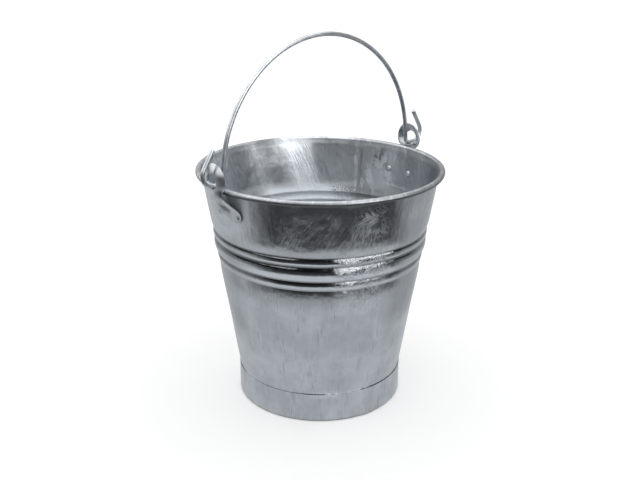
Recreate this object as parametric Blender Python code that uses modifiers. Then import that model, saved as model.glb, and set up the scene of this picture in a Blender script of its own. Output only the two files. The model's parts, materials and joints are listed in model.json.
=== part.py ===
"""Galvanised steel pail of about 12 litres, with a swinging wire bail.

Metres, +Z up. The origin is the centre of the base on the ground, and the bail's pivot axis runs
along X, through both ears. Left is -X, front is -Y.
"""

import math

import bmesh
import bpy
from mathutils import Vector

MM = 0.001
SEGMENTS = 60  # flats round every large turned piece, so that nested pieces keep an even gap
CLEARANCE = 0.35 * MM  # left between pieces that touch on the real pail

# Sheet body: a cone, with a wired rim on top and a folded seam at the bottom
SHEET = 0.6 * MM
FOOT_HEIGHT = 36 * MM
WALL_RADIUS_AT_FOOT = 102.1 * MM  # outside of the sheet, at the top of the foot ring
WALL_RADIUS_AT_RIM = 142.0 * MM  # outside of the sheet, where the flare starts
WALL_SPLIT = 100 * MM  # an extra ring on the long plain stretch
FLARE_START = 282 * MM
FLARE_BEND, FLARE_BEND_OUT = 286 * MM, 0.75 * MM  # height, and how far out of the straight wall
WALL_SLOPE = (WALL_RADIUS_AT_RIM - WALL_RADIUS_AT_FOOT) / (FLARE_START - FOOT_HEIGHT)

# Swaged band: a shallow recess that holds three outward beads
BEADS = (  # height of the crest, half of the width, how far the crest stands out of the recess
    (215.6 * MM, 5.4 * MM, 1.5 * MM),
    (200.6 * MM, 9.0 * MM, 2.8 * MM),
    (185.8 * MM, 5.4 * MM, 1.5 * MM),
)
RECESS_DEPTH = 1.5 * MM
RECESS_BOTTOM, RECESS_TOP = 180.5 * MM, 221.5 * MM
RECESS_RUN_OUT = 11 * MM  # height over which the recess fades into the cone

# Rim: the sheet curls outwards round a steel wire
RIM_RADIUS = 150 * MM
CURL_RADIUS = 3.4 * MM
CURL_HEIGHT = 290 * MM
CURL_CENTRE = RIM_RADIUS - CURL_RADIUS
CURL_END = -128  # degrees: where the curl stops, short of the wall
CURL_STEPS = 10
RIM_WIRE_RADIUS = 2.4 * MM
RIM_WIRE_SEGMENTS = 10

# Lock seam down the inside of the body
SEAM_ANGLE = math.radians(26.8)
SEAM_SPAN = math.radians(3.2)
SEAM_THICKNESS = 1.1 * MM
SEAM_BITE = 0.2 * MM  # how far the seam's strip sinks into the sheet
SEAM_FOOT = 15 * MM

# Bottom: its edge is folded round the body's foot flange
FLANGE_HEIGHT = 12.5 * MM
FLANGE_WIDTH = 2.6 * MM
BOTTOM_HEIGHT = FLANGE_HEIGHT - SHEET - CLEARANCE
FOLD_HEIGHT = FLANGE_HEIGHT + SHEET + CLEARANCE
FOLD_RADIUS = 101.3 * MM
FOLD_WIDTH = 1.7 * MM

# Foot ring: a strip bent round, lapped at its ends, with its lower edge turned in
RING_SHEET = 0.7 * MM
RING_RADIUS = 103.1 * MM  # outside
RING_TURN_IN = 3.6 * MM
LAP_ANGLE = math.radians(-95.5)
LAP_SPAN = math.radians(7)
LAP_THICKNESS = 0.9 * MM
LAP_BITE = 0.2 * MM  # how far the lap's strip sinks into the ring
LAP_MARGIN = 0.6 * MM  # left above and below the lap

# Ears: pressed steel, a dished eye above the rim and a spade-shaped plate on the wall
EAR_SHEET = 1.5 * MM
EAR_FACE = RIM_RADIUS + 3.4 * MM  # inner face of the eye's edge, clear of the rim
EYE_HEIGHT = 302.8 * MM
EYE_RADIUS = 19.0 * MM
EYE_DISH = 6.6 * MM
EYE_ANGLES = (84, 72, 60, 46, 32, 18, 4, -10, -20, -27)  # degrees above level, down the eye's side
HOLE_HEIGHT = 302.6 * MM
HOLE_RADIUS = 8.8 * MM
HOLE_SEGMENTS = 24
EYE_CUTTER_LENGTH = 30 * MM
EAR_COLUMNS = 13  # points across the ear
PLATE_OUTLINE = (  # height and half-width of the ear below its eye, top to bottom
    (291.8 * MM, 13.4 * MM),
    (289.6 * MM, 11.6 * MM),
    (287.0 * MM, 11.0 * MM),
    (284.2 * MM, 12.0 * MM),
    (280.6 * MM, 14.6 * MM),
    (276.0 * MM, 18.2 * MM),
    (271.0 * MM, 21.6 * MM),
    (266.6 * MM, 23.8 * MM),
    (262.6 * MM, 24.6 * MM),
    (259.2 * MM, 23.8 * MM),
    (256.2 * MM, 21.2 * MM),
    (253.8 * MM, 16.0 * MM),
)
PLATE_TOP = 263.5 * MM  # the plate lies on the wall from here down
NECK_TOP_MIDDLE = 284.5 * MM  # and stands clear of the rim from here up, in the middle
NECK_TOP_WING = 288.5 * MM  # and at the wings
NECK_SIDE, WING_SIDE = 4 * MM, 14 * MM  # half-widths between which neck turns into wing
NECK_BULGE_WIDTH = 12.5 * MM  # half-width of the eye's bulge where it has run down the neck
NECK_BULGE_FADE = 0.4  # share of its depth that the bulge loses on the way

# Rivets: two to each ear, through the plate and the wall
RIVET_ANGLE = math.radians(7.1)  # either side of the ear's middle
RIVET_HEIGHT = 260 * MM
RIVET_SHANK = 2.0 * MM
RIVET_HEAD = 4.0 * MM
RIVET_HEAD_THICKNESS = 1.4 * MM
RIVET_DOME = ((0.55, 0.2 * MM), (0.88, 0.75 * MM))  # share of the head's radius, depth below its top
RIVET_SEAT_GAP = 0.1 * MM  # more than the clearance, because the plate is flat under the head
RIVET_HOLE = RIVET_SHANK + CLEARANCE
RIVET_CUTTER_LENGTH = 12 * MM
RIVET_SEGMENTS = 16

# Bail: round wire, an arch with straight legs that end in open hooks through the ears
BAIL_WIRE = 2.6 * MM  # radius
PIVOT_HEIGHT = 296.8 * MM
ARCH_RADIUS = 145.6 * MM
ARCH_CENTRE = 302.6 * MM
LEG_ANGLE = math.radians(6)  # where the arch ends, and so how far the legs splay
ARCH_STEPS = 26
HOOK_CORNERS = (  # distance from the middle, height from the pivot, radius of the bend
    (146.8 * MM, 0.0, 6 * MM),
    (183.4 * MM, 0.0, 13 * MM),
)
HOOK_STEPS = 7  # straight pieces in each bend
BAIL_SHIFT = 2.2 * MM  # the bail hangs this far to the right of the middle, within its play
HOOK_TIP = (158.1 * MM, 41.2 * MM)

COLOURS = {  # base colour and roughness; all of it is hot-dip galvanised steel
    "galvanised_sheet": ((0.50, 0.53, 0.56), 0.34),
    "galvanised_pressing": ((0.55, 0.58, 0.61), 0.40),
    "galvanised_wire": ((0.44, 0.47, 0.50), 0.36),
}


def smoothstep(low, high, value):
    t = min(max((value - low) / (high - low), 0.0), 1.0)
    return t * t * (3 - 2 * t)


def polar(radius, degrees):
    return radius * math.cos(math.radians(degrees)), radius * math.sin(math.radians(degrees))


# --- scene, collections and materials ---


def clear_scene():
    for obj in list(bpy.data.objects):
        bpy.data.objects.remove(obj, do_unlink=True)


def new_collection(name):
    collection = bpy.data.collections.new(name)
    bpy.context.scene.collection.children.link(collection)
    return collection


def new_material(name, colour, roughness):
    material = bpy.data.materials.new(name)
    material.use_nodes = True
    shader = material.node_tree.nodes["Principled BSDF"]
    shader.inputs["Base Color"].default_value = (*colour, 1)
    shader.inputs["Roughness"].default_value = roughness
    shader.inputs["Metallic"].default_value = 1.0
    return material


def add_object(name, data, collection):
    obj = bpy.data.objects.new(name, data)
    collection.objects.link(obj)
    return obj


def add_part(name, data, material):
    """A visible piece: in the pail's collection, under its root empty, with its material."""
    obj = add_object(name, data, parts)
    obj.parent = root
    if not data.materials:
        data.materials.append(material)
    return obj


def as_cutter(obj):
    obj.hide_render = True
    obj.display_type = "WIRE"
    return obj


# --- modelling helpers ---


def profile_mesh(name, points):
    """A chain of edges in the XZ plane, for a Screw modifier to turn."""
    mesh = bpy.data.meshes.new(name)
    edges = [(i, i + 1) for i in range(len(points) - 1)]
    mesh.from_pydata([(x, 0, z) for x, z in points], edges, [])
    return mesh


def add_screw(obj, span=2 * math.pi, steps=SEGMENTS):
    screw = obj.modifiers.new("Turn", "SCREW")
    screw.axis = "Z"
    screw.angle = span
    screw.steps = steps
    screw.render_steps = steps
    screw.use_merge_vertices = True
    screw.merge_threshold = 0.00001


def add_solidify(obj, thickness):
    solidify = obj.modifiers.new("Sheet", "SOLIDIFY")
    solidify.thickness = thickness
    solidify.offset = 0
    solidify.use_even_offset = True


def add_boolean(obj, other, operation):
    boolean = obj.modifiers.new(other.name, "BOOLEAN")
    boolean.operation = operation
    boolean.solver = "EXACT"
    boolean.object = other


def bake_modifiers(obj):
    """Makes the object's shape with its modifiers its own mesh, so that copies can share it."""
    graph = bpy.context.evaluated_depsgraph_get()
    baked = bpy.data.meshes.new_from_object(obj.evaluated_get(graph))
    obj.modifiers.clear()
    obj.data = baked


def shade(obj, angle=35):
    """Smooth shading, with edges sharper than this many degrees left crisp."""
    obj.data.shade_smooth()
    obj.data.set_sharp_from_angle(angle=math.radians(angle))


def cylinder_cutter(name, radius, length, place, direction):
    mesh = bpy.data.meshes.new(name)
    shape = bmesh.new()
    bmesh.ops.create_cone(
        shape,
        cap_ends=True,
        segments=HOLE_SEGMENTS,
        radius1=radius,
        radius2=radius,
        depth=length,
    )
    shape.to_mesh(mesh)
    shape.free()
    cutter = as_cutter(add_object(name, mesh, cutters))
    cutter.location = place
    cutter.rotation_mode = "QUATERNION"
    cutter.rotation_quaternion = Vector(direction).to_track_quat("Z", "Y")
    return cutter


def rivet_hole_cutter(name, place, outward):
    return cylinder_cutter(name, RIVET_HOLE, RIVET_CUTTER_LENGTH, place, outward)


def turned_strip(name, points, thickness, middle, span):
    """A short stretch of a turned sheet, centred on an angle round the pail."""
    strip = as_cutter(add_object(name, profile_mesh(name, points), cutters))
    strip.rotation_euler.z = middle - span / 2
    add_screw(strip, span, steps=2)
    add_solidify(strip, thickness)
    return strip


# --- body ---


def wall_radius(z):
    """Outside radius of the plain cone."""
    return WALL_RADIUS_AT_FOOT + (z - FOOT_HEIGHT) * WALL_SLOPE


def swage(z):
    """How far the swaged band stands out of the cone at a height."""
    fade_in = smoothstep(RECESS_BOTTOM - RECESS_RUN_OUT, RECESS_BOTTOM, z)
    fade_out = 1 - smoothstep(RECESS_TOP, RECESS_TOP + RECESS_RUN_OUT, z)
    offset = -RECESS_DEPTH * min(fade_in, fade_out)
    for crest, half_width, height in BEADS:
        t = abs(z - crest) / half_width
        if t < 1:
            offset += height * (1 + math.cos(math.pi * t)) / 2
    return offset


def swage_heights():
    """Heights, top to bottom, that catch the run-outs, valleys, flanks and crests of the band."""
    heights = {RECESS_TOP + RECESS_RUN_OUT, RECESS_TOP + RECESS_RUN_OUT / 2}
    heights |= {RECESS_BOTTOM - RECESS_RUN_OUT, RECESS_BOTTOM - RECESS_RUN_OUT / 2}
    for crest, half_width, _ in BEADS:
        heights |= {crest + half_width * t for t in (-1, -0.5, 0, 0.5, 1)}
    return sorted(heights, reverse=True)


def wall_profile(inset):
    """The straight and swaged part of the wall, this far inside its outer face, top to bottom."""
    heights = [FLARE_START, *swage_heights(), WALL_SPLIT, FOOT_HEIGHT]
    return [(wall_radius(z) + swage(z) - inset, z) for z in heights]


def body_profile():
    """Middle of the sheet, from the curl's end over the rim and down to the foot flange."""
    middle = CURL_RADIUS - SHEET / 2
    points = []
    for i in range(CURL_STEPS + 1):
        x, z = polar(middle, CURL_END + (180 - CURL_END) * i / CURL_STEPS)
        points.append((CURL_CENTRE + x, CURL_HEIGHT + z))
    points.append((WALL_RADIUS_AT_RIM - SHEET / 2 + FLARE_BEND_OUT, FLARE_BEND))
    points += wall_profile(SHEET / 2)
    corner = wall_radius(FLANGE_HEIGHT) - SHEET / 2
    points += [(corner, FLANGE_HEIGHT), (corner + FLANGE_WIDTH, FLANGE_HEIGHT)]
    return points


def build_body(material):
    body = add_part("body_shell", profile_mesh("body_shell", body_profile()), material)
    add_screw(body)
    add_solidify(body, SHEET)
    inset = SHEET - SEAM_BITE + SEAM_THICKNESS / 2
    seam_points = [*wall_profile(inset), (wall_radius(SEAM_FOOT) - inset, SEAM_FOOT)]
    seam = turned_strip("lock_seam", seam_points, SEAM_THICKNESS, SEAM_ANGLE, SEAM_SPAN)
    add_boolean(body, seam, "UNION")
    for name, place, outward in rivet_places():
        hole = rivet_hole_cutter(f"{name}_hole", place, outward)
        add_boolean(body, hole, "DIFFERENCE")
    bake_modifiers(body)
    shade(body)


def build_rim_wire(material):
    bpy.ops.mesh.primitive_torus_add(
        major_radius=CURL_CENTRE,
        minor_radius=RIM_WIRE_RADIUS,
        major_segments=SEGMENTS,
        minor_segments=RIM_WIRE_SEGMENTS,
        location=(0, 0, CURL_HEIGHT),
    )
    wire = bpy.context.object
    wire.name = wire.data.name = "rim_wire"
    for collection in wire.users_collection:
        collection.objects.unlink(wire)
    parts.objects.link(wire)
    wire.parent = root
    wire.data.materials.append(material)
    shade(wire, 60)


def build_bottom(material):
    points = [
        (FOLD_RADIUS - FOLD_WIDTH, FOLD_HEIGHT),
        (FOLD_RADIUS, FOLD_HEIGHT),
        (FOLD_RADIUS, BOTTOM_HEIGHT),
        (0, BOTTOM_HEIGHT),
    ]
    bottom = add_part("bottom_disc", profile_mesh("bottom_disc", points), material)
    add_screw(bottom)
    add_solidify(bottom, SHEET)
    bake_modifiers(bottom)
    shade(bottom)


def build_foot_ring(material):
    middle = RING_RADIUS - RING_SHEET / 2
    points = [
        (middle, FOOT_HEIGHT),
        (middle, RING_SHEET / 2),
        (middle - RING_TURN_IN, RING_SHEET / 2),
    ]
    ring = add_part("foot_ring", profile_mesh("foot_ring", points), material)
    add_screw(ring)
    add_solidify(ring, RING_SHEET)
    lap_radius = RING_RADIUS - LAP_BITE + LAP_THICKNESS / 2
    lap_points = [(lap_radius, FOOT_HEIGHT - LAP_MARGIN), (lap_radius, LAP_MARGIN)]
    lap = turned_strip("foot_lap", lap_points, LAP_THICKNESS, LAP_ANGLE, LAP_SPAN)
    add_boolean(ring, lap, "UNION")
    bake_modifiers(ring)
    shade(ring)


# --- ears and rivets ---


def ear_outline():
    """Heights and half-widths of the ear, from the top of its eye to the foot of its plate."""
    rows = []
    for degrees in EYE_ANGLES:
        half_width, rise = polar(EYE_RADIUS, degrees)
        rows.append((EYE_HEIGHT + rise, half_width))
    return [*rows, *PLATE_OUTLINE]


def eye_bulge(y, z):
    """How far the eye is dished outwards: a bowl that runs on down the neck as a rounded rib."""
    rise = max(z - EYE_HEIGHT, 0) / EYE_RADIUS
    down = 1 - smoothstep(NECK_TOP_MIDDLE, EYE_HEIGHT, z)
    width = EYE_RADIUS + (NECK_BULGE_WIDTH - EYE_RADIUS) * down
    return EYE_DISH * max(1 - (y / width) ** 2 - rise * rise, 0) * (1 - NECK_BULGE_FADE * down)


def ear_distance(y, z):
    """Distance from the pail's axis plane to the middle of the right ear's sheet, along X."""
    half = EAR_SHEET / 2
    on_wall = math.sqrt((wall_radius(z) + CLEARANCE + half) ** 2 - y * y)
    wing = smoothstep(NECK_SIDE, WING_SIDE, abs(y))
    lift = smoothstep(PLATE_TOP, NECK_TOP_MIDDLE + (NECK_TOP_WING - NECK_TOP_MIDDLE) * wing, z)
    at_rim = EAR_FACE + half + eye_bulge(y, z)
    return on_wall + (at_rim - on_wall) * lift


def ear_mesh():
    """Rows of points across the ear, joined into one sheet: a loft that follows wall and eye."""
    mesh = bpy.data.meshes.new("ear")
    shape = bmesh.new()
    rows = []
    for z, half_width in ear_outline():
        across = [half_width * (2 * i / (EAR_COLUMNS - 1) - 1) for i in range(EAR_COLUMNS)]
        rows.append([shape.verts.new((ear_distance(y, z), y, z)) for y in across])
    for upper, lower in zip(rows, rows[1:]):
        for i in range(EAR_COLUMNS - 1):
            shape.faces.new((upper[i], lower[i], lower[i + 1], upper[i + 1]))
    bmesh.ops.recalc_face_normals(shape, faces=shape.faces)
    shape.to_mesh(mesh)
    shape.free()
    return mesh


def build_ears(material):
    right = add_part("ear_right", ear_mesh(), material)
    add_solidify(right, EAR_SHEET)
    eye_place = (EAR_FACE + EYE_DISH, 0, HOLE_HEIGHT)
    eye = cylinder_cutter("eye_hole", HOLE_RADIUS, EYE_CUTTER_LENGTH, eye_place, (1, 0, 0))
    add_boolean(right, eye, "DIFFERENCE")
    for name, place, outward in rivet_places():
        if place.x > 0:
            hole = rivet_hole_cutter(f"{name}_ear_hole", place, outward)
            add_boolean(right, hole, "DIFFERENCE")
    bake_modifiers(right)
    shade(right, 40)
    left = add_part("ear_left", right.data, material)
    left.rotation_euler.z = math.pi


def rivet_places():
    """Name, point on the wall's outer face and outward direction of each rivet."""
    tilt = math.atan(WALL_SLOPE)
    places = []
    for side, middle in (("right", 0.0), ("left", math.pi)):
        for offset in (-RIVET_ANGLE, RIVET_ANGLE):
            angle = middle + offset
            outward = Vector((math.cos(angle), math.sin(angle), 0))
            place = outward * wall_radius(RIVET_HEIGHT) + Vector((0, 0, RIVET_HEIGHT))
            outward = outward * math.cos(tilt) - Vector((0, 0, math.sin(tilt)))
            end = "front" if place.y < 0 else "rear"
            places.append((f"rivet_{side}_{end}", place, outward))
    return places


def rivet_mesh():
    """Turned about Z, which points out of the wall; z is 0 on the wall's outer face."""
    head_seat = CLEARANCE + EAR_SHEET + CLEARANCE + RIVET_SEAT_GAP
    tail_seat = -SHEET - CLEARANCE
    top = head_seat + RIVET_HEAD_THICKNESS
    bottom = tail_seat - RIVET_HEAD_THICKNESS
    head = [(RIVET_HEAD * share, top - depth) for share, depth in RIVET_DOME]
    tail = [(RIVET_HEAD * share, bottom + depth) for share, depth in reversed(RIVET_DOME)]
    seats = [
        (RIVET_HEAD, head_seat),
        (RIVET_SHANK, head_seat),
        (RIVET_SHANK, tail_seat),
        (RIVET_HEAD, tail_seat),
    ]
    return profile_mesh("rivet", [(0, top), *head, *seats, *tail, (0, bottom)])


def build_rivets(material):
    shared = None
    for name, place, outward in rivet_places():
        rivet = add_part(name, shared or rivet_mesh(), material)
        if shared is None:
            add_screw(rivet, steps=RIVET_SEGMENTS)
            bake_modifiers(rivet)
            shade(rivet)
            shared = rivet.data
        rivet.location = place
        rivet.rotation_mode = "QUATERNION"
        rivet.rotation_quaternion = outward.to_track_quat("Z", "Y")


# --- bail ---


def bend(corner, before, after, radius):
    """Points of the arc that rounds a corner of a path in a plane."""
    into = (corner - before).normalized()
    out = (after - corner).normalized()
    turn = into.angle(out)
    reach = radius * math.tan(turn / 2)
    start = corner - into * reach
    side = (out - into * into.dot(out)).normalized()
    points = []
    for i in range(HOOK_STEPS + 1):
        angle = turn * i / HOOK_STEPS
        points.append(start + into * radius * math.sin(angle) + side * radius * (1 - math.cos(angle)))
    return points


def bail_path():
    """Centre line of the wire in the XZ plane, from the right tip to the left tip, from the pivot."""
    corners = [Vector((x, z)) for x, z, _ in HOOK_CORNERS]
    tip = Vector(HOOK_TIP)
    arch_end = Vector(
        (
            ARCH_RADIUS * math.cos(LEG_ANGLE),
            ARCH_CENTRE + ARCH_RADIUS * math.sin(LEG_ANGLE) - PIVOT_HEIGHT,
        )
    )
    line = [arch_end, *corners, tip]
    hook = []
    for i, (_, _, radius) in enumerate(HOOK_CORNERS, start=1):
        hook += bend(line[i], line[i - 1], line[i + 1], radius)
    right = [tip, *reversed(hook)]
    arch = []
    for i in range(ARCH_STEPS + 1):
        angle = LEG_ANGLE + (math.pi - 2 * LEG_ANGLE) * i / ARCH_STEPS
        height = ARCH_CENTRE + ARCH_RADIUS * math.sin(angle) - PIVOT_HEIGHT
        arch.append(Vector((ARCH_RADIUS * math.cos(angle), height)))
    left = [Vector((-p.x, p.y)) for p in reversed(right)]
    return [*right, *arch, *left]


def build_bail(material):
    curve = bpy.data.curves.new("bail", "CURVE")
    curve.dimensions = "3D"
    curve.bevel_depth = BAIL_WIRE
    curve.bevel_resolution = 2
    curve.use_fill_caps = True
    path = bail_path()
    spline = curve.splines.new("POLY")
    spline.points.add(len(path) - 1)
    for point, place in zip(spline.points, path):
        point.co = (place.x, 0, place.y, 1)
    bail = add_part("bail", curve, material)
    bail.location = (BAIL_SHIFT, 0, PIVOT_HEIGHT)


clear_scene()
parts = new_collection("milk_pail")
cutters = new_collection("milk_pail_cutters")
materials = {name: new_material(name, *look) for name, look in COLOURS.items()}
root = add_object("pail_origin", None, parts)
build_body(materials["galvanised_sheet"])
build_rim_wire(materials["galvanised_wire"])
build_bottom(materials["galvanised_sheet"])
build_foot_ring(materials["galvanised_sheet"])
build_ears(materials["galvanised_pressing"])
build_rivets(materials["galvanised_pressing"])
build_bail(materials["galvanised_wire"])
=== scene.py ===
"""Looks of a galvanised steel pail: fine sheet, wire and pressed pieces, with hot-dip zinc materials.

Metres, +Z up. Angles round the pail run from +X, and the bail turns about an axis along X.
"""

import json
import math

import bmesh
import bpy
import numpy as np
from mathutils import Matrix, Vector, noise


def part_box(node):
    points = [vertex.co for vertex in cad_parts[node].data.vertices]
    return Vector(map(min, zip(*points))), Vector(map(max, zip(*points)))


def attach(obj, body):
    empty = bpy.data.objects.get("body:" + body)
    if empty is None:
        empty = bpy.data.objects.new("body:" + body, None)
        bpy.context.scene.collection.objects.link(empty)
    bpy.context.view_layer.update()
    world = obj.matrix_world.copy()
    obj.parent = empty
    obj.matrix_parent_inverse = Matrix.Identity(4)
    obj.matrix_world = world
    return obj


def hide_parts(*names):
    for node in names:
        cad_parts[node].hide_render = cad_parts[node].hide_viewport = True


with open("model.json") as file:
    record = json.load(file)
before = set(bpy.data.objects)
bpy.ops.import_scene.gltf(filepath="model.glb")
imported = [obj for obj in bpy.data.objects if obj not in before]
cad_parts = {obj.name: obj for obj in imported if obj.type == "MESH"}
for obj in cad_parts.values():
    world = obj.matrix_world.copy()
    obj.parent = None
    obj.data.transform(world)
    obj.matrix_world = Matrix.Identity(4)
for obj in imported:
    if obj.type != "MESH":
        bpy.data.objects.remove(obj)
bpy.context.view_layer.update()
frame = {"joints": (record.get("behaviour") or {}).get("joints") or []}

MM = 0.001
TURN = 2 * math.pi
MERGE = 0.001 * MM  # points closer than this are one

# Sheet body. The CAD solids give the main sizes, and these are the sheet's details.
SHEET = 0.6 * MM
FOOT_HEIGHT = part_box("foot_ring")[1].z
WALL_RADIUS_AT_FOOT = 102.1 * MM
WALL_RADIUS_AT_RIM = 142.0 * MM
FLARE_START = 282 * MM
FLARE_BEND, FLARE_BEND_OUT = 286 * MM, 0.75 * MM
WALL_SLOPE = (WALL_RADIUS_AT_RIM - WALL_RADIUS_AT_FOOT) / (FLARE_START - FOOT_HEIGHT)
RIM_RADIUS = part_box("body_shell")[1].x
CURL_RADIUS = 3.4 * MM
CURL_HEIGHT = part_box("body_shell")[1].z - CURL_RADIUS
CURL_CENTRE = RIM_RADIUS - CURL_RADIUS
CURL_END = math.radians(-128)  # where the curl stops, short of the wall
CURL_POINTS = 30
RIM_WIRE_RADIUS = 2.4 * MM

# Slow dents of a handled sheet: size, seed and depth. They fade out at the foot ring and the rim.
DENTS = ((62 * MM, 3.0, 0.55 * MM), (24 * MM, 11.0, 0.10 * MM))
DENT_SQUASH = 1.4  # how much shorter than wide they are
DENTS_FULL, DENTS_FADE, DENTS_END = 90 * MM, 262 * MM, 280 * MM
DENTS_AT_EARS = 0.15  # their share of depth beside the ears, where riveted plates stiffen the sheet
EAR_FOOT = 240 * MM  # below this height, dents run on past the ears

# Points round the turned pieces
BODY_COLUMNS, RING_COLUMNS, RIVET_COLUMNS = 300, 200, 32
LAPPED_RING_COLUMNS = 308
RIM_WIRE_SIDES = 20

# Swaged band: a recess with sharp valleys, and three rounded beads
BEADS = (  # height of the crest, half of the width, how far the crest stands out of the recess
    (215.6 * MM, 5.2 * MM, 1.7 * MM),
    (200.6 * MM, 9.0 * MM, 2.6 * MM),
    (185.8 * MM, 5.2 * MM, 1.3 * MM),
)
RECESS = (  # height, and how far out of the cone
    (180.6 * MM, -1.1 * MM),
    (192 * MM, -1.4 * MM),
    (210 * MM, -1.4 * MM),
    (220.8 * MM, -2.0 * MM),
)
RUN_OUT_TOP, RUN_OUT_BOTTOM = 240 * MM, 164 * MM
BAND_STEP, UPPER_STEP, LOWER_STEP = 0.9 * MM, 4 * MM, 5 * MM  # between rows of points on the wall

# Seams, bottom and foot ring
SEAM_ANGLE, SEAM_SPAN, SEAM_THICKNESS = math.radians(26.8), math.radians(3.2), 0.4 * MM
SEAM_FOOT = 15 * MM
SEAM_FADE = 26 * MM  # height over which the seam flattens out below the flare
SEAM_STEP = math.radians(0.12)  # width of the slope at each side of the seam
FLANGE_HEIGHT, FLANGE_WIDTH = 12.5 * MM, 2.6 * MM
FOLD_WIDTH, FOLD_CORNER = 1.7 * MM, 0.4 * MM
BOTTOM_STEP = (  # distance in from the edge, and drop
    (7 * MM, 0.0),
    (9 * MM, 0.6 * MM),
    (12 * MM, 0.9 * MM),
)
BOTTOM_RINGS = (70 * MM, 50 * MM, 30 * MM, 15 * MM, 6 * MM, 0.0)
RING_SHEET, RING_RADIUS, RING_TURN_IN = 0.7 * MM, 103.1 * MM, 3.6 * MM
RING_BEND = 1.3 * MM
LAP_EDGE, LAP_SPAN, LAP_GAP = math.radians(268), math.radians(7), 0.03 * MM
LAP_CLIMB = 0.9  # length of the climb onto the lap, as a share of the lap's span

# Ears and rivets
CAD_EAR_SHEET, EAR_SHEET = 1.5 * MM, 1.2 * MM  # the real sheet is thinned at its sheared edges
EAR_EDGE = 0.4 * MM  # width of the rounding
EAR_COLUMNS, EYE_ROWS, PLATE_ROWS = 57, 40, 50  # points across the ear, and down its two parts
EYE_START = math.radians(83)  # where the eye's edge begins, by its top
CLEARANCE = 0.35 * MM
EAR_FACE = RIM_RADIUS + 3.4 * MM
EYE_HEIGHT, EYE_RADIUS, EYE_DISH = 302.8 * MM, 19.0 * MM, 6.6 * MM
EYE_END = math.radians(-27)  # where the eye's round edge passes into the neck
HOLE, HOLE_RADIUS = np.array([0, 302.6 * MM]), 8.8 * MM
HOLE_EASE, HOLE_EASE_STEPS = 1.8, 12  # the grid is evened out up to this many radii from the hole
EAR_OUTLINE = (  # height and half-width of the plate, bottom to top
    (253.8 * MM, 16.0 * MM),
    (256.2 * MM, 21.2 * MM),
    (259.2 * MM, 23.8 * MM),
    (262.6 * MM, 24.6 * MM),
    (266.6 * MM, 23.8 * MM),
    (271.0 * MM, 21.6 * MM),
    (276.0 * MM, 18.2 * MM),
    (280.6 * MM, 14.6 * MM),
    (284.2 * MM, 12.0 * MM),
    (287.0 * MM, 11.0 * MM),
    (289.6 * MM, 11.7 * MM),
)
PLATE_TOP, NECK_TOP_MIDDLE, NECK_TOP_WING = 263.5 * MM, 290.0 * MM, 288.5 * MM
NECK_SIDE, WING_SIDE = 4 * MM, 14 * MM  # half-widths between which neck turns into wing
NECK_BULGE_WIDTH, NECK_BULGE_FADE = 12.5 * MM, 0.4
RIVET_SHANK, RIVET_HEAD, RIVET_HEAD_THICKNESS = 2.0 * MM, 4.0 * MM, 0.9 * MM
RIVET_SEAT_GAP = 0.1 * MM

# Bail
PIVOT = Vector(frame["joints"][0]["pos_m"])
BAIL_WIRE = 2.6 * MM
ARCH_RADIUS, ARCH_CENTRE, LEG_ANGLE = 145.6 * MM, 302.6 * MM, math.radians(6)
HOOK_CORNERS = (  # distance from the middle, height from the pivot, radius of the bend
    (146.8 * MM, 0.0, 6 * MM),
    (183.4 * MM, 0.0, 13 * MM),
)
HOOK_TIP = (158.1 * MM, 41.2 * MM)
BEND_STEPS, ARCH_POINTS = 10, 90
WIRE_STEP, WIRE_SIDES = 3 * MM, 20
WIRE_LUMPS = (9 * MM, 5.0, 0.012)  # size, seed, and share of the wire's radius
WIRE_CAPS = ((0.0, 0.55), (0.25 * MM, 0.85), (0.8 * MM, 1.0))  # inset, and share of the radius

# Camera, at the photograph's angle
CAMERA_SIDE = math.radians(-131.5)
CAMERA_DISTANCE, CAMERA_HEIGHT = 1059.7 * MM, 583.2 * MM
CAMERA_PITCH, CAMERA_ROLL, LENS = math.radians(-20.05), math.radians(0.27), 50.97

# Marks, painted shade and painted highlights on the sheet. From here on, heights, widths and arcs are
# in millimetres on the unrolled sheet.
SHEET_RADIUS = 125 * MM  # arcs are counted at this radius
# heights of painted shade in the valleys and of painted highlights on the crests
SHADED_VALLEYS = ((217.6, 222.4), (204.8, 211.3), (188.0, 191.3))
HIGHLIGHTED_CRESTS = ((213.0, 216.3), (193.5, 203.3), (182.0, 187.0))
BEAD_SOFT = 0.7  # softness of their edges
SLANT_MIDDLE = 250.0  # height at which a slanting patch is where its angle says

# Patches: angle round the pail in degrees, then half of the width, bottom, top and softness of the edge
FAN = (-107.5, 22, 200, 280, 16)  # feathery crystals above the band
LEANING = (-135.5, 40, 226, 280, 20)  # longer crystals, to their left
SATIN = (-112.5, 6, 216, 280, 14)  # a slanting stripe through the fan
BELOW_BAND = (-107.5, 26, 150, 186, 14)  # fainter crystals
BEAD_CRYSTALS = (-108.5, 31, 176, 224, 8)
# the crests' painted highlights are strongest here
CREST_HIGHLIGHT_PATCH = (-133.5, 84, 176, 224, 24)
# painted shade in patches on the outer face
SHADED_PATCHES = (  # patch, strength and grey
    ((-155.5, 74, 158, 224, 12), 0.5, 0.30),
    ((-69.5, 46, 120, 300, 14), 0.7, 0.36),
    ((-197.5, 36, 100, 222, 16), 0.5, 0.32),
)
# by the ears: painted lighter patches, and rougher zinc
NEAR_EARS = ((180, 30, 252, 300, 8), (0, 30, 252, 300, 8))
# painted highlight along the foot ring's top edge, on the camera's side
FOOT_EDGE_HIGHLIGHT = (-127.5, 20, FOOT_HEIGHT / MM - 2, FOOT_HEIGHT / MM + 1, 6)
STREAK = (57.5, 15, 150, 300, 4)  # painted highlight of bright lines, on the inner face
STAIN = (13.5, 11, 258, 284, 6)  # under the rim, by the right ear
SPATTER = (34, 17, 219, 230, 6)  # above the band, by the seam


# --- numbers ---


def smoothstep(low, high, value):
    t = np.clip((value - low) / (high - low), 0, 1)
    return t * t * (3 - 2 * t)


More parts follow.
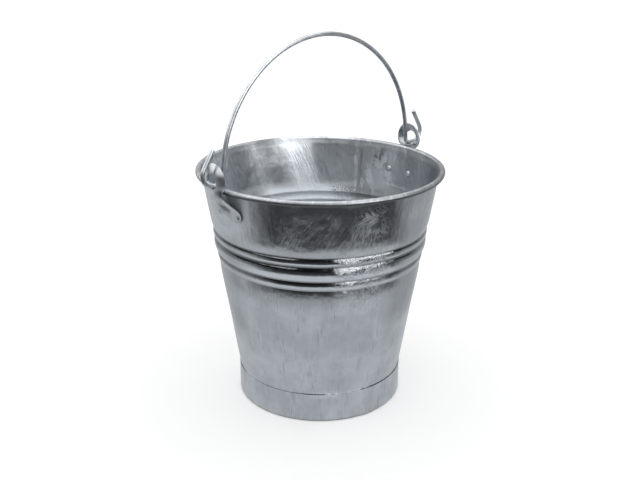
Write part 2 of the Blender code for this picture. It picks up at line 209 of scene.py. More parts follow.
def hermite(xs, ys, x):
    """Smooth curve through the points, with x rising."""
    xs, ys = np.array(xs), np.array(ys)
    slopes = np.gradient(ys, xs)
    i = np.clip(np.searchsorted(xs, x) - 1, 0, len(xs) - 2)
    width = xs[i + 1] - xs[i]
    t = (x - xs[i]) / width
    from_start = (1 + 2 * t) * (1 - t) ** 2 * ys[i] + t * (1 - t) ** 2 * width * slopes[i]
    return from_start + t * t * (3 - 2 * t) * ys[i + 1] + t * t * (t - 1) * width * slopes[i + 1]


def lumps(points, scale, seed):
    """Smooth noise from -1 to 1 at these points, for slow dents and lumps."""
    place = Vector((seed, 0, 0))
    return np.array([noise.noise(Vector(p) / scale + place) for p in points])


def circle(radius, count):
    angles = np.linspace(0, TURN, count, endpoint=False)
    return radius * np.stack([np.cos(angles), np.sin(angles)], 1)


def directions(path):
    """Unit vectors along a path."""
    along = np.gradient(path, axis=0)
    return along / np.linalg.norm(along, axis=1)[:, None]


# --- meshes ---


def finish_piece(name, mesh, body, node, material, sharp=35):
    """A piece that rides on a body and shows in place of a CAD node. sharp is in degrees."""
    obj = bpy.data.objects.new(name, mesh)
    bpy.context.scene.collection.objects.link(obj)
    mesh.materials.append(material)
    mesh.shade_smooth()
    mesh.set_sharp_from_angle(angle=math.radians(sharp))
    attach(obj, body)
    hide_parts(node)


def clean(mesh):
    """Merges points that coincide, and turns every face outward."""
    shape = bmesh.new()
    shape.from_mesh(mesh)
    bmesh.ops.remove_doubles(shape, verts=shape.verts, dist=MERGE)
    bmesh.ops.recalc_face_normals(shape, faces=shape.faces)
    shape.to_mesh(mesh)
    shape.free()


def sheet_loop(path, thickness):
    """Closed outline of a sheet whose middle follows (radius, height), and which points are inside."""
    path = np.array(path)
    along = directions(path)
    across = np.stack([-along[:, 1], along[:, 0]], 1) * thickness / 2
    loop = np.concatenate([path + across, (path - across)[::-1]])
    return loop, np.concatenate([np.zeros(len(path)), np.ones(len(path))])


def turned(name, loop, inner, angles, whole=True, shape=None):
    """The outline swept round Z, with its ends closed unless it is whole.

    UV map 'sheet' unrolls it in millimetres, and attribute 'inside' marks the inner face.
    """
    rows, columns = len(loop), len(angles)
    theta, radius = np.meshgrid(angles, loop[:, 0], indexing="ij")
    height = np.tile(loop[:, 1], (columns, 1))
    within = np.tile(inner, (columns, 1))
    if shape:
        radius, height = shape(theta, radius, height, within)
    points = np.stack([radius * np.cos(theta), radius * np.sin(theta), height], 2).reshape(-1, 3)
    faces = []
    for j in range(columns if whole else columns - 1):
        for i in range(rows):
            k, m = (i + 1) % rows, (j + 1) % columns
            faces.append((j * rows + i, j * rows + k, m * rows + k, m * rows + i))
    if not whole:
        faces.append(tuple(range(rows))[::-1])
        faces.append(tuple((columns - 1) * rows + i for i in range(rows)))
    mesh = bpy.data.meshes.new(name)
    mesh.from_pydata(points.tolist(), [], faces)
    unroll(mesh, faces, theta, points)
    inside = mesh.attributes.new("inside", "FLOAT", "POINT")
    inside.data.foreach_set("value", within.reshape(-1).astype(np.float32))
    clean(mesh)
    return mesh


def unroll(mesh, faces, theta, points):
    """UV map of arc and height, with each face kept in one piece where the angles start again."""
    corners = np.array([v for face in faces for v in face])
    arc = theta.reshape(-1)[corners] * SHEET_RADIUS / MM
    sizes = np.array([len(face) for face in faces])
    starts = np.concatenate([[0], np.cumsum(sizes)[:-1]])
    first = np.repeat(arc[starts], sizes)
    half_turn = math.pi * SHEET_RADIUS / MM
    arc = np.where(first - arc > half_turn, arc + 2 * half_turn, arc)
    flat = np.stack([arc, points[corners, 2] / MM], 1)
    mesh.uv_layers.new(name="sheet").data.foreach_set("uv", flat.astype(np.float32).ravel())


def ring_angles(count, extra=()):
    """Even angles round the pail from the lock seam on, with extra ones where an edge needs them."""
    even = SEAM_ANGLE + TURN * np.arange(count) / count
    more = [SEAM_ANGLE + (a - SEAM_ANGLE) % TURN for a in extra]
    return np.unique(np.concatenate([even, more]))


# --- body ---


def wall_radius(z):
    """Outside radius of the plain cone."""
    return WALL_RADIUS_AT_FOOT + (z - FOOT_HEIGHT) * WALL_SLOPE


def swage(z):
    """How far the swaged band stands out of the cone: a recess, its run-outs and three round beads."""
    top, bottom = RECESS[-1], RECESS[0]
    offset = np.interp(z, [p[0] for p in RECESS], [p[1] for p in RECESS])
    above = np.clip((RUN_OUT_TOP - z) / (RUN_OUT_TOP - top[0]), 0, 1)
    below = np.clip((z - RUN_OUT_BOTTOM) / (bottom[0] - RUN_OUT_BOTTOM), 0, 1)
    offset = np.where(z > top[0], top[1] * above**3, offset)
    offset = np.where(z < bottom[0], bottom[1] * below**2, offset)
    for crest, half_width, height in BEADS:
        t = np.clip(np.abs(z - crest) / half_width, 0, 1)
        offset = offset + height * (1 - t**2.2)
    return offset


def wall_heights():
    """Heights from the flare down to the foot, close together only where the band needs it."""
    upper = np.arange(FLARE_START, RUN_OUT_TOP + 1 * MM, -UPPER_STEP)
    band = np.arange(RUN_OUT_TOP, RUN_OUT_BOTTOM, -BAND_STEP)
    lower = np.arange(RUN_OUT_BOTTOM, FLANGE_HEIGHT + 2 * MM, -LOWER_STEP)
    return np.concatenate([upper, band, lower])


def body_path():
    """Middle of the sheet, from the curl's end over the rim and down to the foot flange."""
    middle = CURL_RADIUS - SHEET / 2
    turn = np.linspace(CURL_END, math.pi, CURL_POINTS)
    curl = np.stack([CURL_CENTRE + middle * np.cos(turn), CURL_HEIGHT + middle * np.sin(turn)], 1)
    flare = [(WALL_RADIUS_AT_RIM - SHEET / 2 + FLARE_BEND_OUT, FLARE_BEND)]
    z = wall_heights()
    wall = np.stack([wall_radius(z) + swage(z) - SHEET / 2, z], 1)
    corner = wall_radius(FLANGE_HEIGHT) - SHEET / 2
    flange = [(corner + FLANGE_WIDTH * share, FLANGE_HEIGHT) for share in (0, 0.5, 1)]
    return np.concatenate([curl, flare, wall, flange])


def body_shape(theta, radius, height, within):
    """Adds the dents, and the lock seam's steps on the inner face."""
    strength = smoothstep(FOOT_HEIGHT, DENTS_FULL, height)
    strength *= 1 - smoothstep(DENTS_FADE, DENTS_END, height)
    off_ears = np.maximum(np.abs(np.sin(theta)), height < EAR_FOOT)
    strength *= DENTS_AT_EARS + (1 - DENTS_AT_EARS) * smoothstep(0.1, 0.35, off_ears)
    across = WALL_RADIUS_AT_RIM * np.cos(theta), WALL_RADIUS_AT_RIM * np.sin(theta)
    points = np.stack([*across, height * DENT_SQUASH], 2).reshape(-1, 3)
    dent = sum(lumps(points, size, seed) * depth for size, seed, depth in DENTS)
    radius = radius + dent.reshape(theta.shape) * strength
    off_seam = np.abs((theta - SEAM_ANGLE + math.pi) % TURN - math.pi)
    on_wall = smoothstep(SEAM_FOOT, SEAM_FOOT + 1 * MM, height)
    on_wall *= 1 - smoothstep(FLARE_START - SEAM_FADE, FLARE_START, height)
    folded = (off_seam < SEAM_SPAN / 2) * on_wall
    return radius - folded * within * SEAM_THICKNESS, height


def build_body(material):
    edge = SEAM_SPAN / 2
    offsets = (edge - 0.01 * SEAM_STEP, edge + SEAM_STEP)
    extra = [SEAM_ANGLE + sign * offset for sign in (-1, 1) for offset in offsets]
    loop, inner = sheet_loop(body_path(), SHEET)
    angles = ring_angles(BODY_COLUMNS, extra)
    mesh = turned("pail_body", loop, inner, angles, shape=body_shape)
    finish_piece("pail_body", mesh, "pail", "body_shell", material, 50)


def build_rim_wire(material):
    loop = circle(RIM_WIRE_RADIUS, RIM_WIRE_SIDES) + (CURL_CENTRE, CURL_HEIGHT)
    mesh = turned("pail_rim_wire", loop, np.zeros(len(loop)), ring_angles(RING_COLUMNS))
    finish_piece("pail_rim_wire", mesh, "pail", "rim_wire", material)


def build_bottom(material):
    low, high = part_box("bottom_disc")
    outer, floor, hem = high.x - SHEET / 2, low.z + SHEET / 2, high.z - SHEET / 2
    path = [
        (outer - FOLD_WIDTH, hem),
        (outer - FOLD_CORNER, hem),
        (outer, hem - FOLD_CORNER),
        (outer, floor + FOLD_CORNER),
        (outer - FOLD_CORNER, floor),
    ]
    path += [(outer - inset, floor - drop) for inset, drop in BOTTOM_STEP]
    path += [(radius, path[-1][1]) for radius in BOTTOM_RINGS]
    loop, inner = sheet_loop(path, SHEET)
    loop[:, 0] = np.maximum(loop[:, 0], 0)
    mesh = turned("pail_bottom", loop, inner, ring_angles(RING_COLUMNS))
    finish_piece("pail_bottom", mesh, "pail", "bottom_disc", material)


def ring_shape(theta, radius, height, within):
    """The strip's far end climbs over its start, and ends at the lap's edge."""
    lap_start = LAP_EDGE - LAP_SPAN
    climb = smoothstep(lap_start - LAP_SPAN * LAP_CLIMB, lap_start, theta)
    return radius + climb * (RING_SHEET + LAP_GAP), height


def build_foot_ring(material):
    middle = RING_RADIUS - RING_SHEET / 2
    base = RING_SHEET / 2
    path = [(middle, z) for z in np.linspace(FOOT_HEIGHT, base + RING_BEND, 9)]
    for t in np.linspace(0, math.pi / 2, 6)[1:]:
        path.append((middle - RING_BEND * (1 - math.cos(t)), base + RING_BEND * (1 - math.sin(t))))
    path.append((middle - RING_TURN_IN, base))
    loop, inner = sheet_loop(path, RING_SHEET)
    angles = np.linspace(LAP_EDGE - TURN - LAP_SPAN, LAP_EDGE, LAPPED_RING_COLUMNS)
    mesh = turned("pail_foot_ring", loop, inner, angles, whole=False, shape=ring_shape)
    finish_piece("pail_foot_ring", mesh, "pail", "foot_ring", material, 50)


# --- ears and rivets ---


def ear_rows():
    """Heights and half-widths of the ear's edge, top to bottom."""
    rows = []
    for t in np.linspace(EYE_START, EYE_END, EYE_ROWS):
        rows.append((EYE_HEIGHT + EYE_RADIUS * math.sin(t), EYE_RADIUS * math.cos(t)))
    heights, widths = zip(*EAR_OUTLINE, rows[-1])
    for z in np.linspace(heights[-1], heights[0], PLATE_ROWS)[1:]:
        rows.append((z, float(hermite(heights, widths, z))))
    return rows


def eye_bulge(y, z):
    """How far the eye is dished outwards: a bowl that runs on down the neck as a rounded rib."""
    rise = np.maximum(z - EYE_HEIGHT, 0) / EYE_RADIUS
    down = 1 - smoothstep(NECK_TOP_MIDDLE, EYE_HEIGHT, z)
    width = EYE_RADIUS + (NECK_BULGE_WIDTH - EYE_RADIUS) * down
    bowl = np.maximum(1 - (y / width) ** 2 - rise * rise, 0)
    return EYE_DISH * bowl * (1 - NECK_BULGE_FADE * down)


def ear_distance(y, z):
    """Distance from the pail's axis plane to the middle of the right ear's sheet, along X."""
    half = CAD_EAR_SHEET / 2
    on_wall = np.sqrt((wall_radius(z) + CLEARANCE + half) ** 2 - y * y)
    wing = smoothstep(NECK_SIDE, WING_SIDE, np.abs(y))
    lift = smoothstep(PLATE_TOP, NECK_TOP_MIDDLE + (NECK_TOP_WING - NECK_TOP_MIDDLE) * wing, z)
    at_rim = EAR_FACE + half + eye_bulge(y, z)
    return on_wall + (at_rim - on_wall) * lift


def on_hole(points):
    """The points moved straight out from the hole's centre, or in, onto its edge."""
    outward = points - HOLE
    return HOLE + outward / np.linalg.norm(outward, axis=-1, keepdims=True) * HOLE_RADIUS


def ear_grid():
    """Grid of (y, z) that fills the ear's outline and fits its hole, and which cells aren't hole."""
    across = np.linspace(-1, 1, EAR_COLUMNS)
    flat = np.array([[(half_width * s, z) for s in across] for z, half_width in ear_rows()])
    away = np.linalg.norm(flat - HOLE, axis=2)
    middles = (flat[:-1, :-1] + flat[1:, :-1] + flat[:-1, 1:] + flat[1:, 1:]) / 4
    kept = np.linalg.norm(middles - HOLE, axis=2) > HOLE_RADIUS
    around = np.stack([kept[:-1, :-1], kept[1:, :-1], kept[:-1, 1:], kept[1:, 1:]])
    edge = np.zeros(away.shape, bool)
    edge[1:-1, 1:-1] = around.any(0) & ~around.all(0)
    flat[edge] = on_hole(flat[edge])
    free = np.zeros(away.shape, bool)
    free[1:-1, 1:-1] = True
    near = (away < HOLE_RADIUS * HOLE_EASE) & free & ~edge
    for _ in range(HOLE_EASE_STEPS):
        rows_mean = np.roll(flat, 1, 0) + np.roll(flat, -1, 0)
        mean = (rows_mean + np.roll(flat, 1, 1) + np.roll(flat, -1, 1)) / 4
        flat[near] = mean[near]
        flat[edge] = on_hole(flat[edge])
    return flat, kept


def ear_mesh(name):
    """The right ear's sheet, without thickness: it follows wall, neck and eye."""
    flat, kept = ear_grid()
    mesh = bpy.data.meshes.new(name)
    shape = bmesh.new()
    verts = {}
    for i, j in np.argwhere(kept):
        corners = ((i, j), (i + 1, j), (i + 1, j + 1), (i, j + 1))
        for corner in corners:
            if corner not in verts:
                y, z = flat[corner]
                verts[corner] = shape.verts.new((ear_distance(y, z), y, z))
        shape.faces.new([verts[corner] for corner in corners])
    bmesh.ops.recalc_face_normals(shape, faces=shape.faces)
    shape.to_mesh(mesh)
    shape.free()
    return mesh


def build_ears(material):
    draft = bpy.data.objects.new("ear_draft", ear_mesh("ear"))
    bpy.context.scene.collection.objects.link(draft)
    solidify = draft.modifiers.new("Sheet", "SOLIDIFY")
    solidify.thickness = EAR_SHEET
    solidify.offset = 0
    bevel = draft.modifiers.new("Edges", "BEVEL")
    bevel.width = EAR_EDGE
    bevel.segments = 3
    bevel.limit_method = "ANGLE"
    bevel.angle_limit = math.radians(50)
    graph = bpy.context.evaluated_depsgraph_get()
    right = bpy.data.meshes.new_from_object(draft.evaluated_get(graph))
    bpy.data.objects.remove(draft)
    left = right.copy()
    left.transform(Matrix.Rotation(math.pi, 4, "Z"))
    for side, mesh in (("right", right), ("left", left)):
        name = f"ear_{side}"
        finish_piece(f"pail_{name}", mesh, "pail", name, material, 40)


def dome(seat, outward):
    """Profile of a rivet's head, from its middle to its edge. outward is -1 for the tail."""
    t = np.linspace(0.15, 1, 8) * math.pi / 2
    heights = seat + outward * RIVET_HEAD_THICKNESS * np.cos(t)
    return [(0, seat + outward * RIVET_HEAD_THICKNESS), *zip(RIVET_HEAD * np.sin(t), heights)]


def build_rivet(node, material):
    """A domed head and tail on a short shank, in line with the CAD rivet."""
    low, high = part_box(node)
    centre = (low + high) / 2
    around = Vector((centre.x, centre.y, 0)).normalized()
    tilt = math.atan(WALL_SLOPE)
    outward = around * math.cos(tilt) - Vector((0, 0, math.sin(tilt)))
    seat = CLEARANCE + (CAD_EAR_SHEET + EAR_SHEET) / 2 - RIVET_SEAT_GAP
    back = RIVET_SEAT_GAP / 2 - SHEET
    middle = (CLEARANCE + CAD_EAR_SHEET + RIVET_SEAT_GAP - SHEET) / 2
    shank = [(RIVET_SHANK, seat), (RIVET_SHANK, back)]
    loop = np.array([*dome(seat, 1), *shank, *reversed(dome(back, -1))])
    loop[:, 1] -= middle
    name = f"pail_{node}"
    mesh = turned(name, loop, np.zeros(len(loop)), ring_angles(RIVET_COLUMNS))
    place = outward.to_track_quat("Z", "Y").to_matrix().to_4x4()
    place.translation = centre
    mesh.transform(place)
    finish_piece(name, mesh, "pail", node, material, 60)


def build_rivets(material):
    for side in ("left", "right"):
        for end in ("front", "rear"):
            build_rivet(f"rivet_{side}_{end}", material)


# --- bail ---


def bend(corner, before, after, radius):
    """Points of the arc that rounds a corner of a path in a plane."""
    into = (corner - before).normalized()
    out = (after - corner).normalized()
    turn = into.angle(out)
    start = corner - into * radius * math.tan(turn / 2)
    side = (out - into * into.dot(out)).normalized()
    points = []
    for i in range(BEND_STEPS + 1):
        t = turn * i / BEND_STEPS
        points.append(start + into * radius * math.sin(t) + side * radius * (1 - math.cos(t)))
    return points


def arch_point(t):
    """Point of the arch at this angle, from the pivot."""
    height = ARCH_CENTRE + ARCH_RADIUS * math.sin(t) - PIVOT.z
    return Vector((ARCH_RADIUS * math.cos(t), height))


def bail_path():
    """Centre line of the wire in the XZ plane, from the right tip to the left tip."""
    corners = [Vector((x, z)) for x, z, _ in HOOK_CORNERS]
    line = [arch_point(LEG_ANGLE), *corners, Vector(HOOK_TIP)]
    hook = []
    for i, (_, _, radius) in enumerate(HOOK_CORNERS, start=1):
        hook += bend(line[i], line[i - 1], line[i + 1], radius)
    right = [line[-1], *reversed(hook)]
    arch = [arch_point(t) for t in np.linspace(LEG_ANGLE, math.pi - LEG_ANGLE, ARCH_POINTS)]
    return [*right, *arch, *(Vector((-p.x, p.y)) for p in reversed(right))]


def evenly(path, step):
    """The path with points added, so that none is further than a step from the next."""
    out = [path[0]]
    for a, b in zip(path, path[1:]):
        count = max(1, math.ceil((b - a).length / step))
        out += [a.lerp(b, (i + 1) / count) for i in range(count)]
    return out


def wire_mesh(name, rings, side):
    """A closed tube through rings of (centre, outward, radius), which all stand across side."""
    points = []
    for centre, outward, radius in rings:
        points += [centre + c * outward + s * side for c, s in circle(radius, WIRE_SIDES)]
    last = (len(rings) - 1) * WIRE_SIDES
    faces = [tuple(range(WIRE_SIDES)), tuple(last + i for i in reversed(range(WIRE_SIDES)))]
    for k in range(0, last, WIRE_SIDES):
        for i in range(WIRE_SIDES):
            j = (i + 1) % WIRE_SIDES
            faces.append((k + i, k + WIRE_SIDES + i, k + WIRE_SIDES + j, k + j))
    mesh = bpy.data.meshes.new(name)
    mesh.from_pydata([tuple(p) for p in points], [], faces)
    clean(mesh)
    return mesh


def build_bail(material):
    low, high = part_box("bail")
    shift = (low.x + high.x) / 2
    path = evenly(bail_path(), WIRE_STEP)
    centres = np.array([(p.x + shift, 0, p.y + PIVOT.z) for p in path])
    along = directions(centres)
    side = np.array([0, 1, 0])
    up = np.cross(along, side)
    size, seed, share = WIRE_LUMPS
    radius = BAIL_WIRE * (1 + share * lumps(centres, size, seed))
    rings = [(centres[0] + along[0] * inset, up[0], radius[0] * cap) for inset, cap in WIRE_CAPS]
    rings += [(centres[i], up[i], radius[i]) for i in range(1, len(centres) - 1)]
    for inset, cap in reversed(WIRE_CAPS):
        rings.append((centres[-1] - along[-1] * inset, up[-1], radius[-1] * cap))
    mesh = wire_mesh("pail_bail", rings, side)
    finish_piece("pail_bail", mesh, "bail", "bail", material, 60)


# --- shader graphs ---


def grey(value, blue=0.045):
    """A cool grey of about this brightness."""
    return (value * (1 - blue), value, value * (1 + blue), 1)


class Graph:
    """Short ways to add and join shader nodes."""

    def __init__(self, tree):
        self.tree = tree
        tree.nodes.clear()

    def put(self, socket, value):
        if isinstance(value, bpy.types.NodeSocket):
            self.tree.links.new(value, socket)
        else:
            socket.default_value = value

    def node(self, kind, inputs=None, **settings):
        made = self.tree.nodes.new(kind)
        for name, value in settings.items():
            setattr(made, name, value)
        for key, value in (inputs or {}).items():
            self.put(made.inputs[key], value)
        return made

    def math(self, operation, a, b=0.0):
        return self.node("ShaderNodeMath", {0: a, 1: b}, operation=operation).outputs[0]

    def chain(self, operation, first, *others):
        for other in others:
            first = self.math(operation, first, other)
        return first

    def product(self, *values):
        return self.chain("MULTIPLY", *values)

    def total(self, *values):
        return self.chain("ADD", *values)

    def most(self, *values):
        return self.chain("MAXIMUM", *values)

    def line(self, value, factor, start):
        """value * factor + start."""
        inputs = {0: value, 1: factor, 2: start}
        return self.node("ShaderNodeMath", inputs, operation="MULTIPLY_ADD").outputs[0]

    def vector(self, operation, a, b):
        return self.node("ShaderNodeVectorMath", {0: a, 1: b}, operation=operation).outputs[0]

    def rotated(self, vector, angle):
        inputs = {"Vector": vector, "Angle": angle}
        return self.node("ShaderNodeVectorRotate", inputs, rotation_type="Z_AXIS").outputs[0]

    def axes(self, vector):
        """Its X, Y and Z."""
        return self.node("ShaderNodeSeparateXYZ", {0: vector}).outputs

    def facing(self):
        """X, Y and Z of the direction that the face looks in."""
        return self.axes(self.node("ShaderNodeNewGeometry").outputs["True Normal"])

    def ramp(self, value, low, high, start=0.0, end=1.0):
        """Smooth rise from start to end as the value goes from low to high."""
        inputs = {0: value, 1: low, 2: high, 3: start, 4: end}
        return self.node("ShaderNodeMapRange", inputs, interpolation_type="SMOOTHSTEP").outputs[0]

    def band(self, value, low, high, soft):
        """1 from low to high, with soft edges."""
        rise = self.ramp(value, low - soft, low + soft)
        return self.product(rise, self.ramp(value, high - soft, high + soft, 1.0, 0.0))

    def noise(self, vector, scale, detail, roughness, distortion=0.0, output="Fac"):
        inputs = {"Vector": vector, "Scale": scale, "Detail": detail}
        inputs |= {"Roughness": roughness, "Distortion": distortion}
        return self.node("ShaderNodeTexNoise", inputs).outputs[output]

    def streaks(self, vector, across, along, detail, roughness, distortion=0.0):
        """Noise with a different scale across the sheet and up it."""
        stretched = self.vector("MULTIPLY", vector, (across, along, 1))
        return self.noise(stretched, 1.0, detail, roughness, distortion)

    def blend(self, factor, a, b):
        """Colour a to colour b."""
        made = self.node("ShaderNodeMix", data_type="RGBA")
        self.put(made.inputs["Factor"], factor)
        self.put(made.inputs[6], a)
        self.put(made.inputs[7], b)
        return made.outputs[2]

    def tint(self, colour, shade, strength, *masks):
        """The colour, drawn towards this grey where all the masks are 1."""
        return self.blend(self.product(*masks, strength), colour, grey(shade))

    def occlusion_shade(self, reach):
        """Painted shade: 1 deep in a narrow opening or corner, and 0 in the open."""
        sky = self.node("ShaderNodeAmbientOcclusion", {"Distance": reach}, samples=6).outputs["AO"]
        return self.ramp(sky, 0.15, 0.72, 1.0, 0.0)

    def studio(self, vector):
        """Degrees to the right of the camera's side that the vector points in, and its height."""
        x, y, z = self.axes(self.rotated(vector, -math.pi / 2 - CAMERA_SIDE))
        toward = self.product(y, -1.0)
        return self.math("DEGREES", self.math("ARCTAN2", x, toward)), z

    def end(self, surface, kind="ShaderNodeOutputMaterial"):
        self.put(self.node(kind).inputs[0], surface)

    def metal(self, colour, roughness, relief, strength, depth):
        """Ends the graph in bare metal, with its relief as bumps."""
        inputs = {"Height": relief, "Strength": strength, "Distance": depth}
        bumps = self.node("ShaderNodeBump", inputs).outputs[0]
        inputs = {"Base Color": colour, "Metallic": 1.0, "Roughness": roughness, "Normal": bumps}
        self.end(self.node("ShaderNodeBsdfPrincipled", inputs).outputs[0])


def new_material(name, graph=Graph):
    """A material, and the graph of its shader."""
    material = bpy.data.materials.new(name)
    material.use_nodes = True
    return material, graph(material.node_tree)


# --- materials ---


def arc_at(degrees):
    """Arc coordinate of this angle round the pail."""
    return (SEAM_ANGLE + (math.radians(degrees) - SEAM_ANGLE) % TURN) * SHEET_RADIUS / MM


class Sheet(Graph):
    """Zinc on the body and the foot ring, drawn on the unrolled sheet."""

    def __init__(self, tree):
        super().__init__(tree)
        self.flat = self.node("ShaderNodeUVMap", uv_map="sheet").outputs[0]
        self.arc, self.height, _ = self.axes(self.flat)
        self.slanted = self.rotated(self.flat, 0.37)
        self.inside = self.node("ShaderNodeAttribute", attribute_name="inside").outputs["Fac"]
        self.outside = self.line(self.inside, -1.0, 1.0)
        self.above_band = self.ramp(self.height, 196, 222)
        self.on_rim = self.ramp(self.height, 284, 287)

        self.cloud = self.noise(self.flat, 0.022, 3.0, 0.55)
        self.mottle = self.noise(self.flat, 0.06, 4.0, 0.6)
        self.runs = self.streaks(self.flat, 0.11, 0.012, 4.0, 0.6, 0.3)
        self.flow = self.streaks(self.slanted, 0.10, 0.03, 5.0, 0.65, 1.2)

        self.bead_crystals = self.patch(BEAD_CRYSTALS)
        self.foot_edge_highlight = self.patch(FOOT_EDGE_HIGHLIGHT)
        near_ears = self.most(*(self.patch(place) for place in NEAR_EARS))
        self.near_ears = self.product(near_ears, self.outside)
        self.streak = self.patch(STREAK, slope=0.3)
        # painted highlight: bright lines in the streak on the inner face, which also give bumps
        brush = self.ramp(self.streaks(self.slanted, 0.8, 0.022, 3.0, 0.65), 0.36, 0.56)
        self.brushed_highlight = self.product(self.inside, self.streak, brush)
        self.fan_lines, self.feather = self.crystals()
        # painted shade in corners and between parts, weaker on the inner face, on the foot edge's
        # painted highlight and by the ears; it also makes the zinc rougher
        self.gap_shade = self.product(
            self.occlusion_shade(8 * MM),
            self.line(self.inside, -0.8, 1.0),
            self.line(self.foot_edge_highlight, -1.0, 1.0),
            self.line(self.near_ears, -0.5, 1.0),
        )

    def slanting(self, slope):
        """The arc coordinate, for a patch whose upper end leans back round the pail."""
        return self.math("ADD", self.arc, self.line(self.height, -slope, slope * SLANT_MIDDLE))

    def patch(self, place, slope=0.0):
        """1 inside a patch."""
        degrees, half_width, low, high, soft = place
        arc = self.slanting(slope) if slope else self.arc
        middle = arc_at(degrees)
        across = self.band(arc, middle - half_width, middle + half_width, soft)
        return self.product(across, self.band(self.height, low, high, soft))

    def between(self, limits):
        """1 between each pair of heights."""
        return self.most(*(self.band(self.height, low, high, BEAD_SOFT) for low, high in limits))

    def strokes(self, cell, lean, spread, width, length, seed):
        """Brush-like strokes whose direction changes from crystal to crystal, and each one's tone."""
        ragged = self.noise(self.flat, 0.15, 4.0, 0.7, output="Color")
        place = self.vector("MULTIPLY", ragged, (cell * 0.6, cell * 0.6, 0))
        place = self.vector("ADD", self.vector("ADD", self.flat, place), (seed, seed * 2, 0))
        inputs = {"Vector": place, "Scale": 1 / cell}
        cells = self.node("ShaderNodeTexVoronoi", inputs, voronoi_dimensions="2D").outputs
        red, green, _ = self.node("ShaderNodeSeparateColor", {0: cells["Color"]}).outputs
        start = self.vector("ADD", self.flat, (seed, seed * 2, 0))
        local = self.vector("SUBTRACT", start, cells["Position"])
        local = self.rotated(local, self.line(red, spread, lean - spread / 2))
        # each crystal reads its own part of the noise, so that no stroke runs on into the next one
        apart = self.vector("MULTIPLY", cells["Color"], (900, 900, 0))
        shifted = self.vector("ADD", local, apart)
        return self.streaks(shifted, 1 / width, 1 / length, 2.5, 0.6, 0.25), green

    def crystals(self):
        """Lines of the fan's crystals, and how far all crystals stand out on the outer face."""
        long, tone = self.strokes(cell=40.0, lean=0.6, spread=0.4, width=0.8, length=26.0, seed=3.0)
        fan, _ = self.strokes(cell=16.0, lean=0.1, spread=1.7, width=0.65, length=14.0, seed=40.0)
        long_lines = self.ramp(long, 0.40, 0.62)
        fan_lines = self.ramp(fan, 0.42, 0.60)
        patchy = self.ramp(self.noise(self.flat, 0.11, 3.0, 0.6), 0.36, 0.60)
        below_band = self.patch(BELOW_BAND)
        faint = self.total(below_band, self.ramp(self.cloud, 0.52, 0.68), 0.25)
        in_fan = self.product(self.patch(FAN), self.line(patchy, 0.55, 0.45))
        leaning = self.product(self.patch(LEANING), self.line(patchy, 0.55, 0.55))
        feather = self.most(
            self.product(in_fan, fan_lines),
            self.product(leaning, long_lines, self.line(tone, 0.4, 0.35)),
            self.product(faint, self.most(fan_lines, long_lines), 0.22),
            self.product(below_band, fan_lines, self.line(patchy, 0.5, 0.5)),
        )
        return fan_lines, self.product(feather, self.outside)

    def grain(self):
        """Clouds, mottling and runs, with fine lines up the sheet."""
        colour = self.blend(self.ramp(self.cloud, 0.36, 0.64), grey(0.60), grey(0.71))
        colour = self.tint(colour, 0.44, 0.22, self.ramp(self.mottle, 0.42, 0.7))
        colour = self.tint(colour, 0.80, 0.25, self.ramp(self.runs, 0.5, 0.7))
        hair = self.streaks(self.flat, 0.45, 0.05, 4.0, 0.7, 0.6)
        place = self.ramp(self.streaks(self.flat, 0.05, 0.022, 2.0, 0.5), 0.46, 0.62)
        light_place = self.line(place, 0.2, 0.08)
        colour = self.tint(colour, 0.32, 0.5, self.ramp(hair, 0.53, 0.62), place)
        light = self.ramp(hair, 0.44, 0.36)
        return self.tint(colour, 0.88, 1.0, light, self.outside, light_place)

    def inner_marks_and_painted_light(self, colour):
        """The inner face has painted shade to either side and a painted highlight in the middle, and is
        blotched and streaked.
        """
        # arcs are counted from the seam at 26.8 degrees, so 10 degrees comes last
        # painted shade to either side
        side_shade = self.most(
            self.product(self.band(self.arc, arc_at(76), arc_at(108), 8.0), 0.35),
            self.ramp(self.arc, arc_at(27), arc_at(10), 0.0, 0.8),
            self.ramp(self.arc, arc_at(330), arc_at(345), 0.0, 0.8),
        )
        # clear: a painted highlight in the middle
        clear = self.band(self.arc, arc_at(34), arc_at(57), 10.0)
        blotch = self.ramp(self.noise(self.flat, 0.045, 4.0, 0.65, 0.5), 0.54, 0.66)
        off_streak = self.line(self.streak, -1.0, 1.0)
        colour = self.tint(colour, 0.30, 0.55, self.inside, blotch, off_streak)
        colour = self.tint(colour, 0.36, 0.8, self.inside, side_shade, self.above_band)
        colour = self.tint(colour, 0.92, 0.7, self.inside, clear, self.above_band)
        colour = self.tint(colour, 0.34, 0.35, self.inside, self.ramp(self.flow, 0.50, 0.62))
        return self.tint(colour, 0.95, 0.35, self.inside, self.ramp(self.flow, 0.46, 0.34))

    def specks_and_painted_light(self, colour):
        """Specks, painted shade beside the streak on the inner face and in patches on the outer face,
        and a painted lighter patch by each ear.
        """
        specks = self.ramp(self.noise(self.flat, 0.55, 2.0, 0.5), 0.66, 0.72)
        colour = self.tint(colour, 0.2, 0.5, specks, self.ramp(self.mottle, 0.45, 0.6))
        # painted shade beside the streak, on the inner face
        beside = self.band(self.slanting(0.3), arc_at(67.5), arc_at(80), 11.0)
        colour = self.tint(colour, 0.16, 0.66, self.inside, beside, self.above_band)
        for place, strength, shade in SHADED_PATCHES:
            colour = self.tint(colour, shade, strength, self.patch(place), self.outside)
        # painted lighter patch by each ear
        return self.tint(colour, 0.80, 0.6, self.near_ears)

